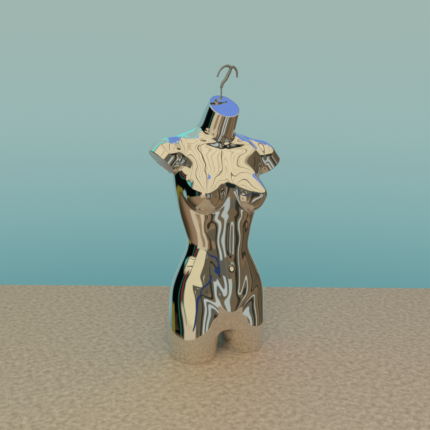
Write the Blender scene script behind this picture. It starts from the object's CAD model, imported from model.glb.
"""The looks of the mirror-chrome torso form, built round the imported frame.

Metres. The figure faces -Y, its own left side is +X, and it stands on z = 0.
"""
import math

import bpy
import numpy as np
from mathutils import Matrix, Vector
from mathutils.geometry import tessellate_polygon


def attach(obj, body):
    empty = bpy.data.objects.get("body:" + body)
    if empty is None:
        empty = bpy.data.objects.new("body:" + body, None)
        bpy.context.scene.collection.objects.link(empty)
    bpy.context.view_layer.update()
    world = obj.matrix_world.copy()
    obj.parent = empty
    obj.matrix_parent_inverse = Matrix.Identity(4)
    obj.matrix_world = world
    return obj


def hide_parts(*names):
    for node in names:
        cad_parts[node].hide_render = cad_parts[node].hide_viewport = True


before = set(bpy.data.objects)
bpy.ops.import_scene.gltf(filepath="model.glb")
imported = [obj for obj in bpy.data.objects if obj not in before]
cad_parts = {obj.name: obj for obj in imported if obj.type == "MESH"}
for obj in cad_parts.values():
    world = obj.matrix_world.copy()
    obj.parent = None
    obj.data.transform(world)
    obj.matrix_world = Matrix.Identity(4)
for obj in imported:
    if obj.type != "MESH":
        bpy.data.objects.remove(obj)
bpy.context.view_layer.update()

MM = 0.001

# ---------------------------------------------------------------- driving sizes of the form
WALL = 3.0 * MM
SEAM_Y = 10.0 * MM            # plane where the front and back shells meet
LEAN = 0.075                  # rise per unit of width: the figure's left side hangs lower
LEAN_FULL = 0.220             # height above which the lean is complete
RIM_RADIUS = 2.6 * MM         # rounding of every cut end
LIP = 0.4 * MM                # flat part of a rim
CAP_RECESS = 0.5 * MM         # the caps sit this far below the rims
CAP_GAP = 0.15 * MM
CAP_THICKNESS = 3.4 * MM
ARM_FACE = 84.0 * MM          # how far an arm's end runs in from its outer corner
ARM_MARGIN = 7.0 * MM         # the arm's form runs this far past its end, then is cut flat
GRID = 3.5 * MM               # spacing of the surface points

NECK_BASE = np.array((-0.006, 0.006, 0.700))
NECK_TOP = np.array((-0.002, -0.041, 0.800))
NECK_TILT = math.radians(39.5)
STEM = np.array((0.0, -0.01476, 0.82163))   # where the hook's stem leaves the neck cap

# A point and the outward normal of the flat ends: neck, arms, thighs
ENDS = {
    "neck": (NECK_TOP, (0.0, -math.sin(NECK_TILT), math.cos(NECK_TILT))),
    "right_arm": ((-0.213, 0.0, 0.656), (-0.715, 0.0, -0.70)),
    "left_arm": ((0.222, 0.0, 0.623), (0.60, 0.0, -0.80)),
    "thigh": ((0.0, 0.0, 0.0), (0.0, 0.0, -1.0)),
}

# Trunk: height, half width, depth forward, depth back (mm)
TRUNK = np.array([
    (100, 158, 70, 92),
    (150, 165, 87, 104),
    (190, 166, 93, 104),
    (230, 160, 96, 98),
    (270, 145, 93, 86),
    (310, 126, 87, 74),
    (355, 107, 80, 67),
    (400, 110, 80, 72),
    (450, 125, 85, 84),
    (500, 138, 90, 95),
    (545, 146, 89, 103),
    (590, 150, 76, 106),
    (640, 152, 54, 100),
    (680, 130, 36, 84),
    (705, 90, 24, 68),
    (730, 48, 8, 46),
]) * MM

# Sideways sway of the body: height, offset (mm)
SWAY = np.array([
    (0, 0),
    (200, 2.5),
    (350, 0),
    (540, -3.5),
    (720, -3.5),
    (800, -1),
]) * MM

# Thigh: height, centre x, centre y, half width, half depth (mm)
THIGH = np.array([
    (-20, 90, 0, 69, 83),
    (0, 90, 0, 71, 84),
    (60, 86, 2, 79, 89),
    (110, 84, 4, 80, 92),
    (170, 80, 6, 74, 88),
    (230, 74, 6, 60, 76),
]) * MM

# Neck: distance along its axis, half width, depth forward, depth back (mm)
NECK = np.array([
    (-50, 65, 58, 84),
    (0, 59, 54, 74),
    (40, 54, 50, 67),
    (80, 51, 48, 59),
    (110, 48, 47, 50),
    (160, 46, 46, 46),
]) * MM


# ---------------------------------------------------------------- distance-field tools
def cubic(x, knots, values):
    """Natural cubic spline through the stations, level beyond both ends."""
    count = len(knots)
    step = np.diff(knots)
    matrix = np.eye(count)
    right = np.zeros(count)
    for i in range(1, count - 1):
        matrix[i, i - 1:i + 2] = (step[i - 1], 2 * (step[i - 1] + step[i]), step[i])
        right[i] = 6 * ((values[i + 1] - values[i]) / step[i] - (values[i] - values[i - 1]) / step[i - 1])
    bend = np.linalg.solve(matrix, right)
    x = np.clip(x, knots[0], knots[-1])
    i = np.clip(np.searchsorted(knots, x, side="right") - 1, 0, count - 2)
    h = step[i]
    after = x - knots[i]
    before = h - after
    curve = (bend[i] * before**3 + bend[i + 1] * after**3) / (6 * h)
    return curve + (values[i] / h - bend[i] * h / 6) * before + (values[i + 1] / h - bend[i + 1] * h / 6) * after


def stations(x, table):
    """Every column of a station table at x."""
    return [cubic(x, table[:, 0], table[:, column]) for column in range(1, table.shape[1])]


def ease(x, low, high):
    """Zero below low, one above high, smooth between."""
    t = np.clip((x - low) / (high - low), 0, 1)
    return t**3 * (t * (6 * t - 15) + 10)


def union(a, b, radius):
    """Two fields joined with a rounded inner corner."""
    h = np.maximum(radius - np.abs(a - b), 0) / radius
    return np.minimum(a, b) - h**3 * radius / 6


def cut(a, b, radius):
    """The part that two fields share, with a rounded edge."""
    return -union(-a, -b, radius)


def ellipse(x, y, half_width, front, back):
    """Distance to an ellipse that is deeper on one side than on the other."""
    depth = front + (back - front) * 0.5 * (1 + np.tanh(2 * y / half_width))
    k0 = np.sqrt((x / half_width)**2 + (y / depth)**2)
    k1 = np.sqrt((x / half_width**2)**2 + (y / depth**2)**2)
    return k0 * (k0 - 1) / np.maximum(k1, 1e-6)


def ellipsoid(x, y, z, centre, radii):
    offsets = [value - c * MM for value, c in zip((x, y, z), centre)]
    k0 = np.sqrt(sum((value / (r * MM))**2 for value, r in zip(offsets, radii)))
    k1 = np.sqrt(sum((value / (r * MM)**2)**2 for value, r in zip(offsets, radii)))
    return k0 * (k0 - 1) / np.maximum(k1, 1e-6)


def capsule(point, start, end, start_radius, end_radius):
    run = np.subtract(end, start) * MM
    t = np.clip((point - np.array(start) * MM) @ run / (run @ run), 0, 1)
    away = np.linalg.norm(point - np.array(start) * MM - t[:, None] * run, axis=1)
    return away - (start_radius + (end_radius - start_radius) * t) * MM


# ---------------------------------------------------------------- the body
def bust(x, y, z):
    """One breast: a round lower form drawn out to a soft point, turned a little outward."""
    turn = math.radians(12.0)
    across = math.cos(turn) * (x - 77 * MM) + math.sin(turn) * (y + 58 * MM)
    along = -math.sin(turn) * (x - 77 * MM) + math.cos(turn) * (y + 58 * MM)
    form = ellipsoid(across, along, z, (0, 0, 536), (60, 56, 59))
    point = ellipsoid(x, y, z, (96, -100, 542), (16, 20, 15))
    return union(form, point, 45 * MM)


def neck(x, y, z):
    axis = NECK_TOP - NECK_BASE
    axis = axis / np.linalg.norm(axis)
    offset = np.stack((x, y, z), 1) - NECK_BASE
    along = offset @ axis
    away = offset - along[:, None] * axis
    half_width, front, back = stations(along, NECK)
    field = ellipse(away[:, 0], away @ np.array((0, axis[2], -axis[1])), half_width, front, back)
    return cut(field, -along - 50 * MM, 30 * MM)


def shoulder(point, inset, forward):
    """The slope from the neck, the round of the shoulder and the arm that hangs from it. inset brings
    the arm in and down, and forward brings it towards the chest."""
    slope = capsule(point, (30, 34, 710), (165 - inset, 18 - forward, 670 - inset / 2), 24, 26)
    arm = capsule(point, (178 - inset, 14 - forward, 648 - inset), (268 - inset, 14 - forward, 540 - inset), 49, 48)
    return union(slope, arm, 30 * MM)


def mark(x, z, path, width):
    """One along a line in the front view, fading to nothing over its width. Path and width in mm."""
    nearest = np.full(len(x), 1.0)
    for (x0, z0), (x1, z1) in zip(path[:-1], path[1:]):
        run_x, run_z = (x1 - x0) * MM, (z1 - z0) * MM
        t = ((x - x0 * MM) * run_x + (z - z0 * MM) * run_z) / (run_x**2 + run_z**2)
        t = np.clip(t, 0, 1)
        nearest = np.minimum(nearest, np.hypot(x - x0 * MM - t * run_x, z - z0 * MM - t * run_z))
    return np.exp(-(nearest / (width * MM))**2)


def spot(x, z, centre_x, centre_z, width, height):
    """One at a point of the front view, fading over an oval. Millimetres."""
    return np.exp(-((x / MM - centre_x) / width)**2 - ((z / MM - centre_z) / height)**2)


def relief(x, y, z):
    """How far the finer anatomy stands out of the plain form."""
    wide = np.sqrt(x**2 + (3 * MM)**2)
    front = ease(-y, -0.010, 0.020)
    back = ease(y, -0.005, 0.025)
    arch = (z - (0.484 - wide**2 / 0.095)) / np.sqrt(1 + (2 * wide / 0.095)**2)
    ribs = 1.0 * np.tanh(arch / 0.012) * np.exp(-(arch / 0.040)**2) * ease(-wide, -0.112, -0.075)
    belly = (
        -2.4 * np.exp(-(x / 0.010)**2) * ease(z, 0.322, 0.360) * ease(-z, -0.472, -0.430)
        - 1.8 * mark(wide, z, [(64, 440), (59, 380), (57, 330), (50, 280), (36, 225)], 15)
        - 5.5 * spot(x, z, 0, 308, 6.5, 9)
        + 5.0 * spot(wide, z, 64, 388, 34, 36)
        + 3.5 * spot(x, z, 0, 258, 50, 42)
        - 2.6 * mark(wide, z, [(112, 250), (84, 212), (48, 166), (18, 122)], 16)
        + 3.0 * spot(x, z, 0, 143, 34, 34)
    )
    chest = (
        2.8 * mark(wide, z, [(14, 685), (46, 689), (84, 694), (112, 697)], 8)
        - 3.0 * spot(wide, z, 62, 712, 28, 12)
        - 1.2 * spot(wide, z, 58, 672, 34, 10)
        - 5.0 * spot(x, z, 0, 696, 12, 11)
        - 1.0 * spot(x, z, 0, 610, 12, 40)
    )
    rear = (
        -5.0 * np.exp(-(x / 0.014)**2) * ease(z, 0.270, 0.330) * ease(-z, -0.660, -0.600)
        + 3.0 * np.exp(-((wide - 0.031) / 0.017)**2) * ease(z, 0.250, 0.320) * ease(-z, -0.500, -0.420)
        + 4.5 * mark(wide, z, [(58, 628), (64, 585), (78, 545)], 17)
        + 3.0 * mark(wide, z, [(64, 624), (120, 640)], 15)
        - 2.5 * spot(wide, z, 33, 262, 8, 8)
        - 17.0 * np.exp(-(x / 0.010)**2) * ease(z, 0.085, 0.110) * ease(-z, -0.232, -0.190)
        - 6.0 * mark(wide, z, [(16, 104), (60, 90), (108, 98)], 10)
    )
    return ((ribs + belly + chest) * front + rear * back) * MM


def end_height(points, end):
    """Height of points above the plane of a flat end."""
    origin, normal = ENDS[end]
    normal = np.array(normal) / np.linalg.norm(normal)
    return (points - origin) @ normal


def upright(points):
    """The same points, with z as if the figure did not lean."""
    return points[:, 2] + LEAN * points[:, 0] * ease(points[:, 2], 0, LEAN_FULL)


def trunk(x, y, z):
    field = ellipse(x, y, *stations(z, TRUNK))
    field = cut(field, 0.086 - z, 30 * MM)
    return cut(field, z - 0.728, 30 * MM)


def body(points):
    """Distance to the form before its ends are cut: arms, neck and thighs run on past them."""
    z = upright(points)
    x, y = points[:, 0] - cubic(z, SWAY[:, 0], SWAY[:, 1]), points[:, 1]
    core = trunk(x, y, z)
    field = core
    centre_x, centre_y, half_width, half_depth = stations(z, THIGH)
    for side in (-1, 1):
        thigh = ellipse(side * x - centre_x, y - centre_y, half_width, half_depth, half_depth)
        field = union(field, cut(thigh, z - 0.240, 80 * MM), 30 * MM)
    for side in (-1, 1):
        field = union(field, ellipsoid(side * x, y, z, (66, 64, 165), (64, 64, 82)), 30 * MM)
    for side, end, inset, forward in ((-1, "right_arm", 7, 10), (1, "left_arm", 2, -3)):
        above = end_height(points, end)
        margin = ARM_MARGIN * ease(core, 4 * MM, 12 * MM)
        arm = cut(shoulder(np.stack((side * x, y, z), 1), inset, forward), above - margin, 1 * MM)
        field = union(field, arm, 8 * MM + 27 * MM * ease(-above, 0.0, 0.045))
    for side in (-1, 1):
        field = union(field, bust(side * x, y, z), 10 * MM + 35 * MM * ease(z, 0.500, 0.590))
    field = union(field, neck(x, y, z), 22 * MM)
    return field - relief(x, y, z)


def gradient(field, points, step=0.3 * MM):
    columns = []
    for axis in np.eye(3) * step:
        columns.append((field(points + axis) - field(points - axis)) / (2 * step))
    return np.stack(columns, 1)


def settle(points, field, rounds=3, reach=GRID):
    """Move points onto the surface along its slope."""
    for _ in range(rounds):
        slope = gradient(field, points)
        move = field(points) / np.maximum((slope**2).sum(1), 0.05)
        points = points - np.clip(move, -reach, reach)[:, None] * slope
    return points


def unit(vectors):
    return vectors / np.maximum(np.linalg.norm(vectors, axis=-1), 1e-12)[..., None]


# ---------------------------------------------------------------- surface from a field
def sample(field, low, high, step, band):
    """The field on a regular grid, worked out in full only near the surface."""
    coarse = 4 * step
    counts = [int(math.ceil((b - a) / coarse)) for a, b in zip(low, high)]
    axes = [a + coarse * (np.arange(n) + 0.5) - step / 2 for a, n in zip(low, counts)]
    middle = np.stack(np.meshgrid(*axes, indexing="ij"), -1)
    rough = field(middle.reshape(-1, 3)).reshape(counts)
    for axis in range(3):
        rough = np.repeat(rough, 4, axis=axis)
    near = np.argwhere(np.abs(rough) < band)
    values = rough
    for start in range(0, len(near), 300000):
        part = near[start:start + 300000]
        values[tuple(part.T)] = field(np.array(low) + part * step)
    return values


def surface(field, low, high, step, band):
    """Triangles of the zero surface: one point for each grid cell it passes through."""
    values = sample(field, low, high, step, band)
    inside = values < 0
    total = sum(inside[i:len(inside) - 1 + i, j:inside.shape[1] - 1 + j, k:inside.shape[2] - 1 + k].astype(int)
                for i in (0, 1) for j in (0, 1) for k in (0, 1))
    cells = np.argwhere((total > 0) & (total < 8))
    number = np.full(total.shape, -1)
    number[tuple(cells.T)] = np.arange(len(cells))
    points = np.zeros((len(cells), 3))
    hits = np.zeros(len(cells))
    for corner in np.ndindex(2, 2, 2):
        for axis in range(3):
            if corner[axis]:
                continue
            step_along = np.eye(3, dtype=int)[axis]
            first = cells + corner
            value_0 = values[tuple(first.T)]
            value_1 = values[tuple((first + step_along).T)]
            crossed = (value_0 < 0) != (value_1 < 0)
            t = value_0[crossed] / (value_0[crossed] - value_1[crossed])
            points[crossed] += first[crossed] + t[:, None] * step_along
            hits[crossed] += 1
    points = np.array(low) + points / hits[:, None] * step
    faces = []
    for axis in range(3):
        change = np.diff(inside.astype(np.int8), axis=axis)
        edges = np.argwhere(change)
        b, c = [other for other in range(3) if other != axis]
        edges = edges[(edges[:, b] > 0) & (edges[:, c] > 0)
                      & (edges[:, b] < total.shape[b]) & (edges[:, c] < total.shape[c])]
        ring = []
        for back_b, back_c in ((0, 0), (1, 0), (1, 1), (0, 1)):
            cell = edges.copy()
            cell[:, b] -= back_b
            cell[:, c] -= back_c
            ring.append(number[tuple(cell.T)])
        ring = np.stack(ring, 1)
        turned = (change[tuple(edges.T)] > 0) == (axis == 1)
        ring[turned] = ring[turned][:, ::-1]
        faces += [ring[:, [0, 1, 2]], ring[:, [0, 2, 3]]]
    faces = np.concatenate(faces)
    points = settle(points, field, reach=step)
    normals = unit(gradient(field, points))
    middle = np.cross(points[faces[:, 1]] - points[faces[:, 0]], points[faces[:, 2]] - points[faces[:, 0]])
    if ((middle * normals[faces[:, 0]]).sum(1) < 0).mean() > 0.5:
        faces = faces[:, ::-1]
    return points, faces


def split(points, faces, level):
    """Cut triangles where level is zero. Returns the points, the faces below and above, and for
    each new point the two old points it lies between."""
    level = np.where(np.abs(level) < 1e-7, 1e-7, level)
    above = level > 0
    count = above[faces].sum(1)
    crossing = faces[(count == 1) | (count == 2)]
    flags = above[crossing]
    lone_above = flags.sum(1) == 1
    lone = np.where(lone_above, flags.argmax(1), (~flags).argmax(1))
    rows = np.arange(len(crossing))
    a, b, c = [crossing[rows, (lone + turn) % 3] for turn in range(3)]
    edges = np.sort(np.concatenate((np.stack((a, b), 1), np.stack((a, c), 1))), 1)
    parents, which = np.unique(edges, axis=0, return_inverse=True)
    which = which.ravel() + len(points)
    ab, ac = which[:len(a)], which[len(a):]
    first, second = parents.T
    t = level[first] / (level[first] - level[second])
    added = points[first] + t[:, None] * (points[second] - points[first])
    tip = np.stack((a, ab, ac), 1)
    rest = np.stack((ab, b, c, ab, c, ac), 1)
    low = np.concatenate((faces[count == 0], tip[~lone_above], rest[lone_above].reshape(-1, 3)))
    high = np.concatenate((faces[count == 3], tip[lone_above], rest[~lone_above].reshape(-1, 3)))
    return np.concatenate((points, added)), low, high, parents


def open_edges(faces):
    """Directed edges that belong to one triangle only."""
    edges = np.concatenate((faces[:, [0, 1]], faces[:, [1, 2]], faces[:, [2, 0]]))
    size = edges.max() + 1
    forward = edges[:, 0] * size + edges[:, 1]
    backward = edges[:, 1] * size + edges[:, 0]
    return edges[~np.isin(forward, backward)]


# ---------------------------------------------------------------- shells with rolled rims
def seam_y(z):
    """Where the front and back shells meet: straight up the flanks, then forward with the neck."""
    lean = (NECK_TOP[1] - NECK_BASE[1]) / (NECK_TOP[2] - NECK_BASE[2])
    return SEAM_Y + lean * np.clip(z - NECK_BASE[2], 0, 0.140) * ease(z, 0.690, 0.760)


def clip_level(points, normals, end):
    """Zero where the rounding of a rim starts, so that it finishes in the plane of the end."""
    normal = np.array(ENDS[end][1]) / np.linalg.norm(ENDS[end][1])
    level = end_height(points, end) + RIM_RADIUS * (1 - normals @ normal)
    if end.endswith("arm"):
        side = math.copysign(1, ENDS[end][0][0])
        clear = ease(trunk(points[:, 0], points[:, 1], upright(points)), 0.006, 0.010)
        inward = (points - ENDS[end][0]) @ np.array((side * normal[2], 0, -side * normal[0]))
        elsewhere = (side * points[:, 0] < 0) | (inward > ARM_FACE + 0.015)
        level = np.where(elsewhere, -1.0, level - 0.020 * (1 - clear))
    return level


def loops_of(edges):
    """Directed edges as closed loops of point numbers."""
    following = dict(edges.tolist())
    loops = []
    while following:
        start, here = following.popitem()
        loop = [start]
        while here != start:
            loop.append(here)
            here = following.pop(here)
        loops.append(np.array(loop))
    return loops


ARC_STEPS = 4


def rim_rows(points, normals, loop, end):
    """Rows of points from the skin's edge round the rim to its inner corner, with their normals,
    and the direction from each point into the opening."""
    normal = np.array(ENDS[end][1]) / np.linalg.norm(ENDS[end][1])
    start, away = points[loop], normals[loop]
    centre = start - RIM_RADIUS * away
    rows, turns = [start], [away]
    for k in range(1, ARC_STEPS + 1):
        s = k / ARC_STEPS
        turn = unit((1 - s) * away + s * normal)
        rows.append(centre + RIM_RADIUS * turn)
        turns.append(turn)
    edge = rows[-1]
    inward = np.cross(unit(np.roll(edge, -1, axis=0) - np.roll(edge, 1, axis=0)), normal)
    rows.append(edge + LIP * inward)
    turns.append(np.broadcast_to(normal, edge.shape))
    return rows, turns, inward


class Skin:
    """Triangles with a normal for each of their corners."""

    def __init__(self, points):
        self.points = [points]
        self.count = len(points)
        self.faces = []
        self.normals = []

    def add_points(self, points):
        first = self.count
        self.points.append(points)
        self.count += len(points)
        return first

    def add_faces(self, faces, corner_normals):
        self.faces.append(faces)
        self.normals.append(corner_normals)

    def add_strip(self, a, b, normal_a, normal_b):
        """Quads between two closed rows of point numbers, or open ones given as (starts, ends)."""
        (a0, a1), (b0, b1) = a, b
        (na0, na1), (nb0, nb1) = normal_a, normal_b
        self.add_faces(np.stack((a1, a0, b0), 1), np.stack((na1, na0, nb0), 1))
        self.add_faces(np.stack((a1, b0, b1), 1), np.stack((na1, nb0, nb1), 1))

    def add_flat(self, faces):
        points = np.concatenate(self.points)
        corners = points[faces]
        normal = unit(np.cross(corners[:, 1] - corners[:, 0], corners[:, 2] - corners[:, 0]))
        self.add_faces(faces, np.repeat(normal[:, None], 3, axis=1))

    def build(self, name, material, body_name):
        points = np.concatenate(self.points)
        faces = np.concatenate(self.faces)
        normals = np.concatenate(self.normals)
        used, faces = np.unique(faces, return_inverse=True)
        faces = faces.reshape(-1, 3)
        mesh = bpy.data.meshes.new(name)
        mesh.from_pydata(points[used].tolist(), [], faces.tolist())
        mesh.polygons.foreach_set("use_smooth", [True] * len(faces))
        mesh.normals_split_custom_set(normals.reshape(-1, 3).tolist())
        piece = bpy.data.objects.new(name, mesh)
        bpy.context.collection.objects.link(piece)
        mesh.materials.append(material)
        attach(piece, body_name)
        return piece


def form_skins():
    """The outer skins of the front and back shells on shared points, and every rim round the form."""
    points, faces = surface(body, (-0.2975, -0.161, -0.0122), (0.2975, 0.168, 0.870), GRID, 0.020)
    end_of = np.full(len(points), "", dtype="U9")
    for end in ENDS:
        level = clip_level(points, unit(gradient(body, points)), end)
        before = len(points)
        points, faces, _, parents = split(points, faces, level)
        points[before:] = settle(points[before:], body, rounds=1)
        end_of = np.concatenate((end_of, np.full(len(parents), end, dtype="U9")))
    level = points[:, 1] - seam_y(upright(points))
    before = len(points)
    points, front, back, parents = split(points, faces, level)
    same = end_of[parents[:, 0]] == end_of[parents[:, 1]]
    end_of = np.concatenate((end_of, np.where(same, end_of[parents[:, 0]], "")))
    seam = np.arange(len(points)) >= before
    normals = unit(gradient(body, points))
    edges = open_edges(np.concatenate((front, back)))
    rims = [(end_of[loop[0]], loop, rim_rows(points, normals, loop, end_of[loop[0]])) for loop in loops_of(edges)]
    return points, normals, front, back, seam, rims


def build_shell(name, points, normals, faces, seam, rims, material):
    """A closed shell: outer skin, rims, inner skin, and the joint face along the seam."""
    skin = Skin(points)
    inner = skin.add_points(points - WALL * normals)
    skin.add_faces(faces, normals[faces])
    skin.add_faces(faces[:, ::-1] + inner, -normals[faces[:, ::-1]])
    edges = open_edges(faces)
    following = dict(edges.tolist())
    on_rim = set()
    for end, loop, (rows, turns, inward) in rims:
        numbers = [loop] + [skin.add_points(row) + np.arange(len(loop)) for row in rows[1:]] + [loop + inner]
        after = np.roll(np.arange(len(loop)), -1)
        mine = np.array([following.get(int(a)) == int(b) for a, b in zip(loop, loop[after])])
        here, there = np.nonzero(mine)[0], after[mine]
        pairs = [(turns[k], turns[k + 1]) for k in range(ARC_STEPS)]
        pairs += [(turns[-1], turns[-1]), (inward, inward)]
        for k, (first, second) in enumerate(pairs):
            skin.add_strip((numbers[k][here], numbers[k][there]), (numbers[k + 1][here], numbers[k + 1][there]),
                           (first[here], first[there]), (second[here], second[there]))
        on_rim.update(zip(loop[here].tolist(), loop[there].tolist()))
        corners = [(i, True) for i in there if not mine[i]] + [(i, False) for i in here if not mine[i - 1]]
        for i, forward in corners:
            ring = np.array([row[i] for row in numbers])
            fan = np.stack((ring[:-2], ring[1:-1], np.full(len(ring) - 2, ring[-1])), 1)
            skin.add_flat(fan if forward else fan[:, ::-1])
    joint = np.array([edge for edge in edges.tolist() if tuple(edge) not in on_rim])
    a, b = joint.T
    skin.add_flat(np.concatenate((np.stack((b, a, a + inner), 1), np.stack((b, a + inner, b + inner), 1))))
    piece = skin.build(name + "_skin", material, "torso")
    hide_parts(name)
    return piece


# ---------------------------------------------------------------- caps
def fill(outline, hole, normal):
    """Triangles that fill a flat outline, leaving out the hole if there is one, facing along normal."""
    rings = [[Vector(p) for p in outline]]
    if hole is not None:
        rings.append([Vector(p) for p in hole[::-1]])
    faces = np.array(tessellate_polygon(rings))
    if hole is not None:
        flipped = len(outline) + len(hole) - 1 - (faces - len(outline))
        faces = np.where(faces < len(outline), faces, flipped)
    points = np.concatenate((outline, hole)) if hole is not None else outline
    corners = points[faces]
    facing = np.cross(corners[:, 1] - corners[:, 0], corners[:, 2] - corners[:, 0]) @ normal
    return np.where((facing > 0)[:, None], faces, faces[:, ::-1])


def build_cap(name, rim, material, bore=None):
    """A flat plate with eased edges inside a rim. bore is the place and radius of an upright hole."""
    end, loop, (rows, turns, inward) = rim
    normal = np.array(ENDS[end][1]) / np.linalg.norm(ENDS[end][1])
    edge = rows[-1] + CAP_GAP * inward - CAP_RECESS * normal
    ease_size = 0.3 * MM
    rings = [edge - CAP_THICKNESS * normal, edge - ease_size * normal, edge + ease_size * inward]
    skin = Skin(np.concatenate(rings))
    count = len(loop)
    here = np.arange(count)
    there = np.roll(here, -1)
    outward = -inward
    level = np.broadcast_to(normal, edge.shape)
    for k, (first, second) in enumerate(((outward, outward), (outward, level))):
        a, b = here + k * count, there + k * count
        skin.add_strip((a, b), (a + count, b + count), (first[here], first[there]), (second[here], second[there]))
    hole_top = hole_bottom = None
    if bore is not None:
        centre, radius = bore
        turn = np.linspace(0, 2 * math.pi, 48, endpoint=False)
        around = np.stack((np.cos(turn), np.sin(turn), np.zeros(48)), 1)
        ring = centre + radius * around
        drop = end_height(ring, end) / normal[2]
        hole_top = ring - np.stack((0 * drop, 0 * drop, drop + CAP_RECESS / normal[2]), 1)
        hole_bottom = hole_top - np.array((0, 0, CAP_THICKNESS / normal[2]))
        first = skin.add_points(hole_top) + np.arange(48)
        second = skin.add_points(hole_bottom) + np.arange(48)
        after = np.roll(np.arange(48), -1)
        skin.add_strip((first[after], first), (second[after], second),
                       (-around[after], -around), (-around[after], -around))
    for k, hole, facing, numbers in ((2, hole_top, normal, "top"), (0, hole_bottom, -normal, "bottom")):
        faces = fill(rings[k], hole, facing)
        lookup = np.arange(count) + k * count
        if hole is not None:
            lookup = np.concatenate((lookup, first if numbers == "top" else second))
        skin.add_faces(lookup[faces], np.broadcast_to(facing, (len(faces), 3, 3)))
    piece = skin.build(name + "_plate", material, "torso")
    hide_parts(name)
    return piece


# ---------------------------------------------------------------- hook
HOOK_BASE = STEM + (0, 0, 0.030)
HOOK_RODS = (
    (((0, 0), (4, 14), (15, 27), (23, 40), (29, 51), (33, 61)), (3.9, 4.6, 5.3, 5.4, 5.2, 4.6)),
    (((33, 61), (26, 65.5), (16, 66), (5, 61.5), (-4, 53.5), (-9.5, 45), (-13, 36)),
     (4.6, 4.2, 3.8, 3.4, 3.0, 2.7, 2.5)),
    (((33, 61), (39, 64), (46, 61), (51.5, 54.5), (54.3, 45), (54.7, 35)), (4.6, 4.2, 3.7, 3.3, 2.9, 2.6)),
)


def rod(point, path, radii):
    """A round rod along a smooth curve in the hook's plane. Millimetres from the hook's foot."""
    path = np.array(path, float)
    run = np.concatenate(([0], np.cumsum(np.linalg.norm(np.diff(path, axis=0), axis=1))))
    places = np.linspace(0, run[-1], 22)
    x, z = cubic(places, run, path[:, 0]), cubic(places, run, path[:, 1])
    size = np.interp(places, np.linspace(0, run[-1], len(radii)), radii)
    spine = np.stack((x, 0 * x, z), 1)
    parts = [capsule(point, spine[i], spine[i + 1], size[i], size[i + 1]) for i in range(len(spine) - 1)]
    return np.min(parts, axis=0)


def hook_form(points):
    point = points - HOOK_BASE
    field = rod(point, *HOOK_RODS[0])
    for path, radii in HOOK_RODS[1:]:
        field = union(field, rod(point, path, radii), 3.0 * MM)
        tip_x, tip_z = path[-1]
        tip = np.linalg.norm(point - np.array((tip_x, 0, tip_z)) * MM, axis=1) - 3.0 * MM
        field = union(field, tip, 1.0 * MM)
    return cut(field, -point[:, 2], 1.2 * MM)


def build_hook(material):
    points, faces = surface(hook_form, HOOK_BASE - (0.020, 0.009, 0.003), HOOK_BASE + (0.061, 0.009, 0.073),
                            0.6 * MM, 0.003)
    skin = Skin(points)
    normals = unit(gradient(hook_form, points, 0.05 * MM))
    skin.add_faces(faces, normals[faces])
    piece = skin.build("hook_forging", material, "hook")
    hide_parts("hook")
    return piece


# ---------------------------------------------------------------- materials
def new_material(name):
    material = bpy.data.materials.new(name)
    material.use_nodes = True
    return material, material.node_tree.nodes, material.node_tree.links


def noise(nodes, links, scale, detail=3.0, roughness=0.5):
    """Noise over the object's own coordinates."""
    where = nodes.new("ShaderNodeTexCoord")
    texture = nodes.new("ShaderNodeTexNoise")
    texture.inputs["Scale"].default_value = scale
    texture.inputs["Detail"].default_value = detail
    texture.inputs["Roughness"].default_value = roughness
    links.new(where.outputs["Object"], texture.inputs["Vector"])
    return texture.outputs["Fac"]


def spread(nodes, links, value, low, high, from_low=0.3, from_high=0.7):
    """A value stretched to run from low to high."""
    node = nodes.new("ShaderNodeMapRange")
    node.inputs["From Min"].default_value = from_low
    node.inputs["From Max"].default_value = from_high
    node.inputs["To Min"].default_value = low
    node.inputs["To Max"].default_value = high
    links.new(value, node.inputs["Value"])
    return node.outputs["Result"]


def bump(nodes, links, height, distance, strength, below=None):
    node = nodes.new("ShaderNodeBump")
    node.inputs["Distance"].default_value = distance
    node.inputs["Strength"].default_value = strength
    links.new(height, node.inputs["Height"])
    if below is not None:
        links.new(below, node.inputs["Normal"])
    return node.outputs["Normal"]


def metal(name, tone, worn_tone, roughness, peel, grain, metallic=1.0):
    """Plated metal: tone drifts a little, and roughness rises in faint smudges. peel and grain are
    the size per metre and the depth in metres of a long and a short ripple."""
    material, nodes, links = new_material(name)
    shader = nodes["Principled BSDF"]
    shader.inputs["Metallic"].default_value = metallic
    smudge = noise(nodes, links, 22.0, 6.0, 0.62)
    blend = nodes.new("ShaderNodeMix")
    blend.data_type = "RGBA"
    blend.inputs["A"].default_value = (*tone, 1)
    blend.inputs["B"].default_value = (*worn_tone, 1)
    links.new(spread(nodes, links, smudge, 0.0, 1.0), blend.inputs["Factor"])
    links.new(blend.outputs["Result"], shader.inputs["Base Color"])
    links.new(spread(nodes, links, smudge, *roughness, 0.45, 0.75), shader.inputs["Roughness"])
    ripple = bump(nodes, links, noise(nodes, links, peel[0], 2.0), peel[1], 1.0)
    fine = bump(nodes, links, noise(nodes, links, grain[0], 3.0), grain[1], 1.0, ripple)
    links.new(fine, shader.inputs["Normal"])
    return material


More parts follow.
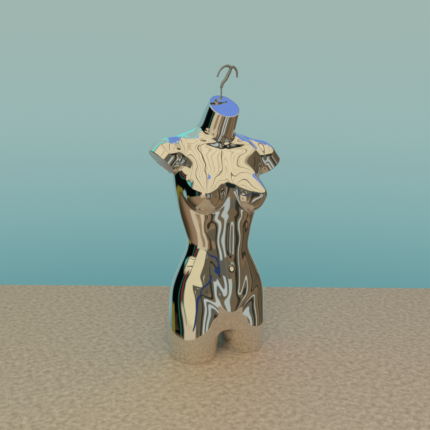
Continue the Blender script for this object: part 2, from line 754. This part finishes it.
def wood():
    material, nodes, links = new_material("sawn_hardwood")
    shader = nodes["Principled BSDF"]
    where = nodes.new("ShaderNodeTexCoord")
    rings = nodes.new("ShaderNodeTexWave")
    rings.inputs["Scale"].default_value = 90.0
    rings.inputs["Distortion"].default_value = 5.0
    rings.inputs["Detail"].default_value = 3.0
    links.new(where.outputs["Object"], rings.inputs["Vector"])
    ramp = nodes.new("ShaderNodeValToRGB")
    ramp.color_ramp.elements[0].color = (0.42, 0.27, 0.14, 1)
    ramp.color_ramp.elements[1].color = (0.62, 0.45, 0.27, 1)
    links.new(rings.outputs["Fac"], ramp.inputs["Fac"])
    links.new(ramp.outputs["Color"], shader.inputs["Base Color"])
    links.new(spread(nodes, links, rings.outputs["Fac"], 0.55, 0.75), shader.inputs["Roughness"])
    links.new(bump(nodes, links, rings.outputs["Fac"], 0.0002, 0.6), shader.inputs["Normal"])
    return material


def glued_strip():
    """Unplated plastic, roughened for the glue."""
    material, nodes, links = new_material("bonding_strip")
    shader = nodes["Principled BSDF"]
    grit = noise(nodes, links, 900.0, 4.0)
    ramp = nodes.new("ShaderNodeValToRGB")
    ramp.color_ramp.elements[0].color = (0.62, 0.60, 0.55, 1)
    ramp.color_ramp.elements[1].color = (0.76, 0.75, 0.71, 1)
    links.new(grit, ramp.inputs["Fac"])
    links.new(ramp.outputs["Color"], shader.inputs["Base Color"])
    links.new(spread(nodes, links, grit, 0.5, 0.8), shader.inputs["Roughness"])
    links.new(bump(nodes, links, grit, 0.0002, 0.7), shader.inputs["Normal"])
    return material


def floor_finish():
    """Pale warm floor with a faint fleck."""
    material, nodes, links = new_material("floor_finish")
    shader = nodes["Principled BSDF"]
    fleck = noise(nodes, links, 60.0, 8.0, 0.7)
    ramp = nodes.new("ShaderNodeValToRGB")
    ramp.color_ramp.elements[0].position = 0.35
    ramp.color_ramp.elements[1].position = 0.65
    ramp.color_ramp.elements[0].color = (0.36, 0.27, 0.20, 1)
    ramp.color_ramp.elements[1].color = (0.62, 0.50, 0.39, 1)
    links.new(fleck, ramp.inputs["Fac"])
    links.new(ramp.outputs["Color"], shader.inputs["Base Color"])
    shader.inputs["Roughness"].default_value = 0.6
    return material


# ---------------------------------------------------------------- the object
mirror = metal("mirror_shell", (0.86, 0.84, 0.80), (0.80, 0.79, 0.76), (0.015, 0.05), (26.0, 0.00010), (140.0, 0.000004))
mirror_cap = metal("mirror_cap", (0.84, 0.85, 0.87), (0.79, 0.80, 0.82), (0.02, 0.06), (30.0, 0.00010), (160.0, 0.000004))
satin = metal("satin_chrome", (0.36, 0.38, 0.37), (0.28, 0.30, 0.29), (0.26, 0.42), (160.0, 0.00008), (900.0, 0.00003), 0.6)
steel = metal("bright_steel", (0.60, 0.60, 0.59), (0.50, 0.50, 0.49), (0.18, 0.34), (200.0, 0.00002), (1200.0, 0.00001))
hardwood = wood()
strip = glued_strip()

points, normals, front, back, seam, rims = form_skins()
build_shell("front_shell", points, normals, front, seam, rims, mirror)
build_shell("back_shell", points, normals, back, seam, rims, mirror)
for rim in rims:
    end, loop, (rows, _, _) = rim
    if end == "neck":
        build_cap("neck_cap", rim, mirror_cap, (STEM, 3.65 * MM))
    elif end == "thigh":
        build_cap("right_thigh_cap" if rows[0][:, 0].mean() < 0 else "left_thigh_cap", rim, mirror_cap)
    else:
        build_cap(end + "_cap", rim, mirror_cap)
build_hook(satin)

for name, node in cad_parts.items():
    if name == "neck_block":
        material = hardwood
    elif name.endswith("strip"):
        material = strip
    else:
        material = steel
    node.data.materials.clear()
    node.data.materials.append(material)


# ---------------------------------------------------------------- floor, light and camera
def add_floor():
    """A round mat's worth of floor that the figure reflects, and the rest of the floor round it, which
    ends in a straight far edge and leaves the figure's reflections to the studio."""
    turn = np.linspace(0, 2 * math.pi, 96, endpoint=False)
    circle = np.stack((np.cos(turn), np.sin(turn)), 1)
    # a rectangle turned to the camera: half its width, how far it runs in front and behind
    frame_turn = math.radians(CAMERA_AZIMUTH)
    across = circle @ (math.cos(frame_turn), math.sin(frame_turn))
    behind = circle @ (-math.sin(frame_turn), math.cos(frame_turn))
    depth = np.where(behind > 0, FLOOR_BEHIND, FLOOR_IN_FRONT)
    reach = 1 / np.maximum(np.abs(across) / FLOOR_HALF_WIDTH, np.abs(behind) / depth)
    near = np.column_stack((circle * MAT_RADIUS, np.zeros(96)))
    far = np.column_stack((circle * reach[:, None], np.zeros(96)))
    after = np.roll(np.arange(96), -1)
    quads = [(i, i + 96, after[i] + 96, after[i]) for i in range(96)]
    finish = floor_finish()
    for name, points, faces in (("mat", near, [tuple(range(96))]), ("floor", np.concatenate((near, far)), quads)):
        mesh = bpy.data.meshes.new(name)
        mesh.from_pydata(points.tolist(), [], faces)
        mesh.materials.append(finish)
        plane = bpy.data.objects.new(name, mesh)
        plane.visible_glossy = name == "mat"
        bpy.context.collection.objects.link(plane)


def add_area_light(name, place, target, size, power, tone):
    light = bpy.data.lights.new(name, "AREA")
    light.shape = "RECTANGLE"
    light.size, light.size_y = size
    light.energy = power
    light.color = tone
    lamp = bpy.data.objects.new(name, light)
    lamp.location = place
    lamp.rotation_euler = (Vector(target) - Vector(place)).to_track_quat("-Z", "Y").to_euler()
    lamp.visible_glossy = False
    bpy.context.collection.objects.link(lamp)


def shade(red, green, blue):
    """A display colour as light."""
    return tuple((value / 255)**2.2 for value in (red, green, blue))


class Room:
    """The room round the figure, painted by direction. Degrees round the figure run from 0 in front
    of it through 90 on its own left; degrees up run from the horizon."""

    def __init__(self):
        world = bpy.data.worlds.new("studio")
        bpy.context.scene.world = world
        world.use_nodes = True
        self.nodes, self.links = world.node_tree.nodes, world.node_tree.links
        self.background = self.nodes["Background"]
        where = self.nodes.new("ShaderNodeTexCoord")
        parts = self.nodes.new("ShaderNodeSeparateXYZ")
        self.links.new(where.outputs["Generated"], parts.inputs["Vector"])
        self.x, self.y, self.z = [parts.outputs[axis] for axis in "XYZ"]
        self.up = self.math("MULTIPLY", self.math("ARCSINE", self.z), 180 / math.pi)
        facing = self.math("MULTIPLY", self.y, -1.0)
        self.round = self.math("MULTIPLY", self.math("ARCTAN2", self.x, facing), 180 / math.pi)

    def math(self, operation, first, second=None):
        node = self.nodes.new("ShaderNodeMath")
        node.operation = operation
        for socket, value in zip(node.inputs, (first, second)):
            if isinstance(value, (int, float)):
                socket.default_value = value
            elif value is not None:
                self.links.new(value, socket)
        return node.outputs["Value"]

    def step(self, value, start, end):
        """Zero before start and one after end, smooth between."""
        node = self.nodes.new("ShaderNodeMapRange")
        node.interpolation_type = "SMOOTHSTEP"
        node.inputs["From Min"].default_value = start
        node.inputs["From Max"].default_value = end
        self.links.new(value, node.inputs["Value"])
        return node.outputs["Result"]

    def ramp(self, value, stops):
        """A colour that follows value in degrees, from -180 to 180."""
        node = self.nodes.new("ShaderNodeValToRGB")
        elements = node.color_ramp.elements
        for _ in stops[2:]:
            elements.new(0.5)
        for element, (degrees, colour) in zip(elements, stops):
            element.position = degrees / 360 + 0.5
            element.color = (*shade(*colour), 1)
        scaled = self.math("ADD", self.math("MULTIPLY", value, 1 / 360), 0.5)
        self.links.new(scaled, node.inputs["Fac"])
        return node.outputs["Color"]

    def mix(self, factor, first, second):
        node = self.nodes.new("ShaderNodeMix")
        node.data_type = "RGBA"
        self.links.new(factor, node.inputs["Factor"])
        for socket, colour in ((node.inputs["A"], first), (node.inputs["B"], second)):
            if isinstance(colour, tuple):
                socket.default_value = (*shade(*colour), 1)
            else:
                self.links.new(colour, socket)
        return node.outputs["Result"]

    def card(self, under, colour, left, right, low, high, soft=2.0, lean=0.0):
        """A soft-edged card over the colour under it. lean slants its sides, degrees round per degree up."""
        across = self.math("ADD", self.round, self.math("MULTIPLY", self.up, lean))
        inside = self.math("MULTIPLY", self.step(across, left - soft, left + soft),
                           self.math("SUBTRACT", 1.0, self.step(across, right - soft, right + soft)))
        inside = self.math("MULTIPLY", inside, self.step(self.up, low - soft, low + soft))
        inside = self.math("MULTIPLY", inside, self.math("SUBTRACT", 1.0, self.step(self.up, high - soft, high + soft)))
        return self.mix(inside, under, colour)

    def panels(self, under, colour, seed, share, left, right, low, high):
        """Uneven upright panels, as wide as the noise makes them, inside a window of directions."""
        spot = self.nodes.new("ShaderNodeCombineXYZ")
        self.links.new(self.math("MULTIPLY", self.round, 0.075), spot.inputs["X"])
        self.links.new(self.math("MULTIPLY", self.up, 0.012), spot.inputs["Y"])
        spot.inputs["Z"].default_value = seed
        waver = self.nodes.new("ShaderNodeTexNoise")
        waver.inputs["Scale"].default_value = 1.0
        waver.inputs["Detail"].default_value = 1.0
        self.links.new(spot.outputs["Vector"], waver.inputs["Vector"])
        inside = self.step(waver.outputs["Fac"], share, share + 0.03)
        for value, start, end in ((self.round, left, right), (self.up, low, high)):
            inside = self.math("MULTIPLY", inside, self.step(value, start, start + 3))
            inside = self.math("MULTIPLY", inside, self.math("SUBTRACT", 1.0, self.step(value, end - 3, end)))
        return self.mix(inside, under, colour)

    def boards(self, under, colour, scale, thin, strength):
        """Wavering lines across the ceiling, thinner as thin nears one."""
        spot = self.nodes.new("ShaderNodeCombineXYZ")
        steep = self.math("MAXIMUM", self.z, 0.05)
        self.links.new(self.math("DIVIDE", self.x, steep), spot.inputs["X"])
        self.links.new(self.math("DIVIDE", self.y, steep), spot.inputs["Y"])
        waves = self.nodes.new("ShaderNodeTexWave")
        waves.inputs["Scale"].default_value = scale
        waves.inputs["Distortion"].default_value = 3.5
        waves.inputs["Detail"].default_value = 2.0
        self.links.new(spot.outputs["Vector"], waves.inputs["Vector"])
        lines = self.step(waves.outputs["Fac"], thin, (1 + thin) / 2)
        return self.mix(self.math("MULTIPLY", lines, strength), under, colour)


def add_studio():
    room = Room()
    cream, blue, cyan, pale, dark = (238, 224, 188), (118, 150, 225), (130, 235, 225), (168, 192, 188), (12, 16, 16)
    # the boundary between ceiling and skylight comes forward as it rises
    turned = room.math("ADD", room.round, room.math("MULTIPLY", room.step(room.z, 0.67, 1.0), 30.0))
    ceiling = room.boards(cream, (196, 170, 122), 1.6, 0.80, 0.6)
    ceiling = room.boards(ceiling, (84, 72, 50), 0.45, 0.975, 0.8)
    sky = room.ramp(turned, [(-180, pale), (-150, pale), (-138, cyan), (-124, cyan), (-112, (60, 90, 80)),
                             (-104, (230, 222, 192)), (103, (236, 226, 196)), (107, blue), (152, blue),
                             (158, cyan), (166, cyan), (173, pale), (180, pale)])
    over_front = room.math("MULTIPLY", room.step(turned, -106, -102), room.math("SUBTRACT", 1.0, room.step(turned, 101, 105)))
    skylight = room.math("MAXIMUM", room.step(room.x, 0.40, 0.45), room.step(room.y, 0.05, 0.15))
    near_zenith = room.math("MULTIPLY", room.step(room.z, 0.80, 0.90), room.math("SUBTRACT", 1.0, skylight))
    upper = room.mix(room.math("MAXIMUM", over_front, near_zenith), sky, ceiling)
    ring = room.ramp(room.round, [
        (-180, (138, 176, 176)), (-152, (138, 176, 176)), (-146, (40, 60, 58)), (-138, dark), (-98, dark),
        (-94, (52, 110, 92)), (-91, dark), (-86, (40, 46, 42)), (-74, (30, 44, 38)), (-40, (96, 92, 76)),
        (-20, (104, 96, 78)), (20, (96, 100, 92)), (60, (112, 100, 80)), (96, (92, 82, 64)),
        (118, (84, 76, 62)), (130, (142, 178, 176)), (156, (150, 184, 180)), (180, (138, 176, 176))])
    low = room.ramp(room.round, [(-180, (96, 84, 66)), (-150, (58, 52, 42)), (-128, (84, 72, 50)),
                                 (-100, (150, 124, 98)), (-30, (166, 140, 112)), (-10, (122, 106, 84)),
                                 (50, (112, 98, 78)), (90, (140, 118, 94)),
                                 (180, (120, 100, 80))])
    whole = room.mix(room.step(room.up, 17, 21), ring, upper)
    whole = room.mix(room.step(room.up, -26, -20), low, whole)
    whole = room.card(whole, (206, 192, 162), -82, -34, -44, -14, 3.0)
    whole = room.card(whole, (158, 132, 106), -62, -47, -36, -24, 2.0)
    whole = room.panels(whole, (58, 54, 44), 1.7, 0.55, -34, 118, -60, 14)
    whole = room.panels(whole, (132, 108, 80), 5.2, 0.60, -30, 118, -60, 12)
    whole = room.panels(whole, (190, 198, 190), 9.4, 0.61, -30, 112, -52, 10)
    whole = room.card(whole, (226, 214, 174), -70, -36, -15, 30, 1.5)
    whole = room.card(whole, (58, 128, 108), -73.5, -71, -16, 24, 0.8)
    whole = room.card(whole, (126, 52, 54), -84, -77, -13, 20, 1.0, 0.15)
    whole = room.card(whole, (46, 66, 108), -19, -12, -18, 7, 1.0, -1.67)
    whole = room.card(whole, (190, 200, 196), 0, 9, -48, 2, 1.0)
    whole = room.card(whole, (182, 194, 190), 17, 27, -46, 0, 1.0)
    whole = room.card(whole, (34, 42, 40), 12, 56, 8, 19, 2.0)
    whole = room.card(whole, (124, 116, 48), -147, -124, -24, -18, 1.5)
    # seen straight, the studio is a plain backdrop
    backdrop = room.ramp(room.up, [(-90, (96, 150, 154)), (-19, (102, 154, 157)), (-12, (130, 171, 172)),
                                   (-4, (150, 181, 178)), (6, (158, 180, 174)), (90, (150, 172, 168))])
    seen = room.nodes.new("ShaderNodeLightPath").outputs["Is Camera Ray"]
    whole = room.mix(seen, whole, backdrop)
    room.links.new(whole, room.background.inputs["Color"])


def add_camera():
    """A 50 mm lens a little above the bust, to the figure's right of its front."""
    azimuth, pitch, roll = math.radians(CAMERA_AZIMUTH), math.radians(12.4), math.radians(0.39)
    lens = bpy.data.cameras.new("camera")
    lens.lens = 50.0
    lens.sensor_width = 36.0
    camera = bpy.data.objects.new("camera", lens)
    back_x, back_y = math.sin(azimuth), -math.cos(azimuth)
    yaw = math.atan(CAMERA_OFFSET)
    ahead = Vector((-back_x, -back_y, 0))
    ahead.rotate(Matrix.Rotation(yaw, 3, "Z"))
    view = ahead * math.cos(pitch) + Vector((0, 0, -math.sin(pitch)))
    right = view.cross(Vector((0, 0, 1))).normalized()
    up = right.cross(view)
    tilted_right = right * math.cos(roll) + up * math.sin(roll)
    tilted_up = up * math.cos(roll) - right * math.sin(roll)
    turn = Matrix((tilted_right, tilted_up, -view)).transposed()
    camera.matrix_world = Matrix.Translation((1.86 * back_x, 1.86 * back_y, 0.865)) @ turn.to_4x4()
    bpy.context.collection.objects.link(camera)
    bpy.context.scene.camera = camera


CAMERA_AZIMUTH = -29.0        # degrees round the figure, to its right of its front
CAMERA_OFFSET = 0.005         # how far right of the frame's middle the figure's axis stands, per unit of depth
MAT_RADIUS = 0.34
FLOOR_BEHIND = 0.62
FLOOR_IN_FRONT = 2.2
FLOOR_HALF_WIDTH = 2.2
bpy.context.scene.view_settings.view_transform = "Standard"
add_floor()
add_studio()
add_area_light("key", (-0.9, -1.6, 2.6), (0, 0, 0.5), (1.6, 1.2), 30.0, (1.0, 0.95, 0.88))
add_camera()
